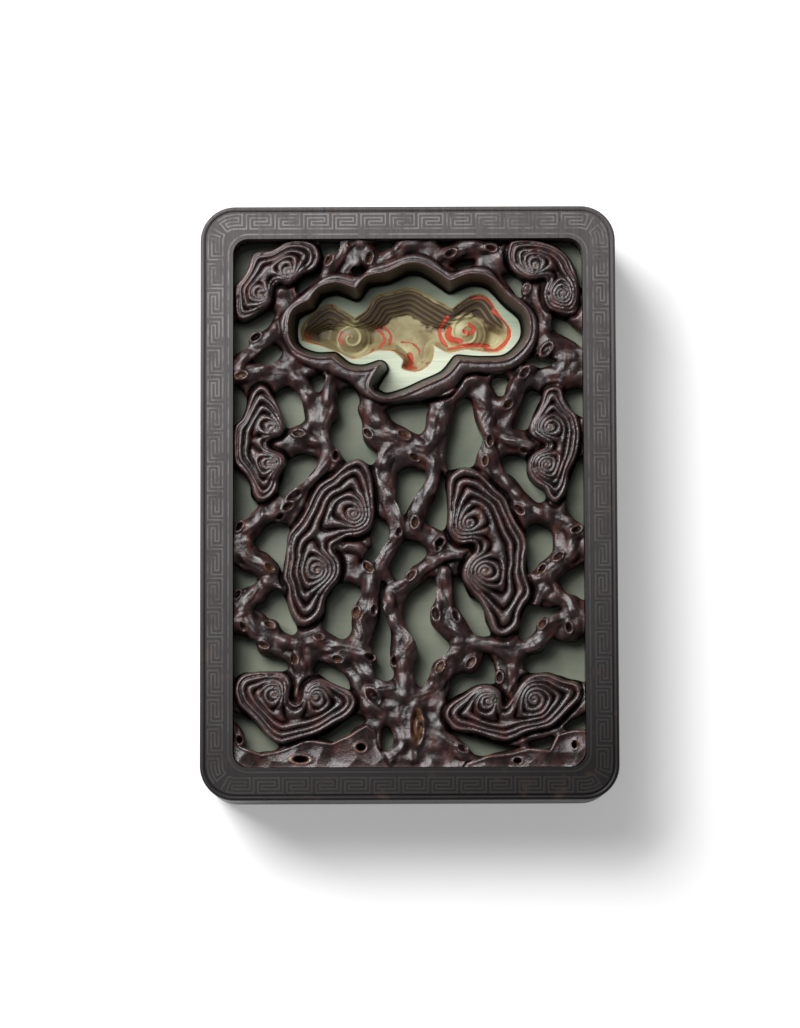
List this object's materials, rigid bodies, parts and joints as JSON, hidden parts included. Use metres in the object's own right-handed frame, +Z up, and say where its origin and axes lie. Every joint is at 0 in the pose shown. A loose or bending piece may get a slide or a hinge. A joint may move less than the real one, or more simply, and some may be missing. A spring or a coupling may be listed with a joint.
{
  "type": "inkstone box",
  "caption": "Carved hardwood box with a silver-wire border and a pierced lift-off lid, holding a green inkstone whose cloud-shaped ink pool shows through the lid.",
  "frame": {"origin": "centre of the footprint, on the table under the feet", "axes": "+Z up, +Y towards the end of the box that holds the ink pool, +X to the right when seen from the other end"},
  "size_m": [0.102, 0.146, 0.03],
  "materials": {
    "wood_tray": "satin",
    "wood_foot": "satin",
    "wood_frame": "polished",
    "wood_carving": "polished",
    "green_stone": "satin",
    "silver_wire": "satin"
  },
  "bodies": {
    "tray": {"base_tray": "wood_tray", "foot_front_left": "wood_foot", "foot_front_right": "wood_foot", "foot_back_left": "wood_foot", "foot_back_right": "wood_foot"},
    "stone": {"inkstone": "green_stone"},
    "lid": {"lid_frame": "wood_frame", "openwork_panel": "wood_carving", "fret_wire_front": "silver_wire", "fret_wire_back": "silver_wire", "fret_wire_left": "silver_wire", "fret_wire_right": "silver_wire", "line_wire": "silver_wire"}
  },
  "joints": [
    {"name": "stone_lift", "type": "slide", "parent": "tray", "child": "stone", "axis": [0, 0, 1], "range_m": [0, 0.03]},
    {"name": "lid_lift", "type": "slide", "parent": "stone", "child": "lid", "axis": [0, 0, 1], "range_m": [0, 0.06]}
  ]
}
